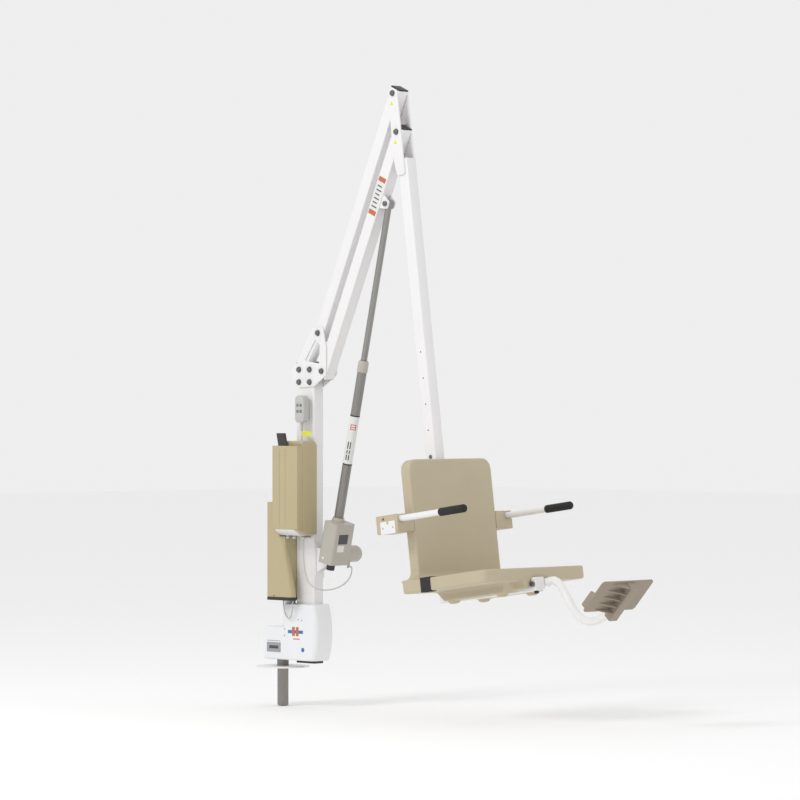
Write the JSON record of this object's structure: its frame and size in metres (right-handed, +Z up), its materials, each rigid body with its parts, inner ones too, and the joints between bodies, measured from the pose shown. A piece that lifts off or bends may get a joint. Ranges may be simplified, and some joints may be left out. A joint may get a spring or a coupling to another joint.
{
  "type": "pool access lift",
  "caption": "Deck-mounted aquatic lift with a slewing mast, paired lifting arms, a powered actuator and a hanging moulded seat with a footrest.",
  "frame": {"origin": "on the anchor post's axis, at the level of the deck that the post's disc lies on", "axes": "+Z up along the anchor post; +X forward, the way the seat faces; +Y to the seated person's left"},
  "size_m": [1.9806, 0.632, 2.442],
  "materials": {
    "white_coat": "smooth white powder coat",
    "white_moulding": "white moulded cover",
    "anchor_steel": "plain turned steel",
    "gear_steel": "machined steel",
    "bush_bronze": "plain bronze bearing",
    "bolt_steel": "stainless hexagon bolts",
    "black_plastic": "black moulded plugs and strips",
    "motor_paint": "white painted gearmotor",
    "tan_cover": "fine grained tan moulding",
    "tan_seat": "tan moulded seat shell",
    "beige_housing": "beige actuator moulding",
    "grey_tube": "grey anodised tube",
    "rod_steel": "ground rod",
    "battery_case": "dark battery case",
    "handset_case": "pale grey moulding",
    "button_rubber": "soft keys",
    "cable_jacket": "pale cable jacket",
    "webbing": "black woven webbing",
    "foam_grip": "black foam",
    "footplate": "tan moulding"
  },
  "bodies": {
    "anchor": {"anchor_post": "anchor_steel", "deck_flange": "white_coat", "fixed_gear": "gear_steel"},
    "mast": {"base_weldment": "white_coat", "bearing_bush": "bush_bronze", "mast_tube": "white_coat", "mast_end_plug": "black_plastic", "base_cover": "white_moulding", "slewing_motor": "motor_paint", "motor_cover": "tan_cover", "motor_cover_base": "black_plastic", "control_cover": "tan_cover", "control_box": "white_moulding", "gusset_right": "white_coat", "gusset_left": "white_coat", "mast_bolt_1": "bolt_steel", "mast_bolt_2": "bolt_steel", "mast_bolt_3": "bolt_steel", "mast_bolt_4": "bolt_steel", "lower_arm_base_pin": "bolt_steel", "upper_arm_base_pin": "bolt_steel", "actuator_bracket": "white_coat", "actuator_base_pin": "bolt_steel", "handset_hook": "white_coat", "actuator_cable": "cable_jacket", "motor_cable": "cable_jacket", "handset_cable": "cable_jacket"},
    "pinion": {"drive_pinion": "gear_steel"},
    "lower_arm": {"lower_arm_tube": "white_coat", "lower_arm_end_plug": "black_plastic", "actuator_top_pin": "bolt_steel"},
    "upper_arm": {"upper_arm_tube": "white_coat", "upper_arm_end_plug": "black_plastic"},
    "hanger": {"hanger_tube": "white_coat", "hanger_plate_right": "white_coat", "hanger_plate_left": "white_coat", "lower_arm_top_pin": "bolt_steel", "upper_arm_top_pin": "bolt_steel", "seat_shell": "tan_seat", "armrest_block_right": "tan_seat", "armrest_block_left": "tan_seat", "seat_strap": "webbing", "footrest_pin": "bolt_steel"},
    "armrest_right": {"armrest_tube_right": "white_coat", "armrest_grip_right": "foam_grip"},
    "armrest_left": {"armrest_tube_left": "white_coat", "armrest_grip_left": "foam_grip"},
    "footrest": {"footrest_arm": "white_coat", "footrest_plate": "footplate"},
    "actuator_body": {"actuator_housing": "beige_housing", "actuator_tube": "grey_tube", "actuator_nose": "beige_housing", "actuator_spindle": "gear_steel"},
    "actuator_rod": {"actuator_rod": "rod_steel"},
    "battery": {"battery": "battery_case"},
    "handset": {"handset": "handset_case"},
    "handset_button_1": {"handset_button_1": "button_rubber"},
    "handset_button_2": {"handset_button_2": "button_rubber"},
    "handset_button_3": {"handset_button_3": "button_rubber"},
    "handset_button_4": {"handset_button_4": "button_rubber"}
  },
  "joints": [
    {"name": "slew", "type": "hinge", "parent": "anchor", "child": "mast", "pos_m": [0, 0, 0], "axis": [0, 0, 1], "continuous": true},
    {"name": "pinion_spin", "type": "hinge", "parent": "mast", "child": "pinion", "pos_m": [0.05706, -0.01854, 0], "axis": [0, 0, 1], "continuous": true},
    {"name": "arm_lift", "type": "hinge", "parent": "mast", "child": "lower_arm", "pos_m": [0.2546, 0, 1.181], "axis": [0, 1, 0], "range_deg": [0, 80]},
    {"name": "upper_arm_swing", "type": "hinge", "parent": "mast", "child": "upper_arm", "pos_m": [0.2341, 0, 1.33201], "axis": [0, 1, 0], "range_deg": [0, 80]},
    {"name": "hanger_level", "type": "hinge", "parent": "lower_arm", "child": "hanger", "pos_m": [0.6727, 0, 2.10699], "axis": [0, 1, 0], "range_deg": [-80, 0]},
    {"name": "actuator_tilt", "type": "hinge", "parent": "mast", "child": "actuator_body", "pos_m": [0.284, 0, 0.44459], "axis": [0, 1, 0], "range_deg": [0, 40]},
    {"name": "rod_tilt", "type": "hinge", "parent": "lower_arm", "child": "actuator_rod", "pos_m": [0.60187, 0, 1.83105], "axis": [0, 1, 0], "range_deg": [-40, 0]},
    {"name": "armrest_right_fold", "type": "hinge", "parent": "hanger", "child": "armrest_right", "pos_m": [0.88839, -0.292, 0.60939], "axis": [0, 1, 0], "range_deg": [-100, 0]},
    {"name": "armrest_left_fold", "type": "hinge", "parent": "hanger", "child": "armrest_left", "pos_m": [0.88839, 0.292, 0.60939], "axis": [0, 1, 0], "range_deg": [-100, 0]},
    {"name": "footrest_fold", "type": "hinge", "parent": "hanger", "child": "footrest", "pos_m": [1.39404, 0, 0.37628], "axis": [0, 1, 0], "range_deg": [0, 30]},
    {"name": "battery_lift", "type": "slide", "parent": "mast", "child": "battery", "axis": [0, 0, 1], "range_m": [0, 0.26]},
    {"name": "handset_lift", "type": "slide", "parent": "mast", "child": "handset", "axis": [0, 0, 1], "range_m": [0, 0.062]},
    {"name": "handset_button_1_press", "type": "slide", "parent": "handset", "child": "handset_button_1", "axis": [0, 1, 0], "range_m": [0, 0.0015], "stiffness_N_per_m": 600, "springref_m": -0.001},
    {"name": "handset_button_2_press", "type": "slide", "parent": "handset", "child": "handset_button_2", "axis": [0, 1, 0], "range_m": [0, 0.0015], "stiffness_N_per_m": 600, "springref_m": -0.001},
    {"name": "handset_button_3_press", "type": "slide", "parent": "handset", "child": "handset_button_3", "axis": [0, 1, 0], "range_m": [0, 0.0015], "stiffness_N_per_m": 600, "springref_m": -0.001},
    {"name": "handset_button_4_press", "type": "slide", "parent": "handset", "child": "handset_button_4", "axis": [0, 1, 0], "range_m": [0, 0.0015], "stiffness_N_per_m": 600, "springref_m": -0.001}
  ],
  "couplings": [
    {"joint": "pinion_spin", "follows": "slew", "ratio": 2},
    {"joint": "upper_arm_swing", "follows": "arm_lift", "ratio": 1},
    {"joint": "hanger_level", "follows": "arm_lift", "ratio": -1},
    {"joint": "actuator_tilt", "follows": "arm_lift", "ratio": 0.5},
    {"joint": "rod_tilt", "follows": "arm_lift", "ratio": -0.5}
  ]
}
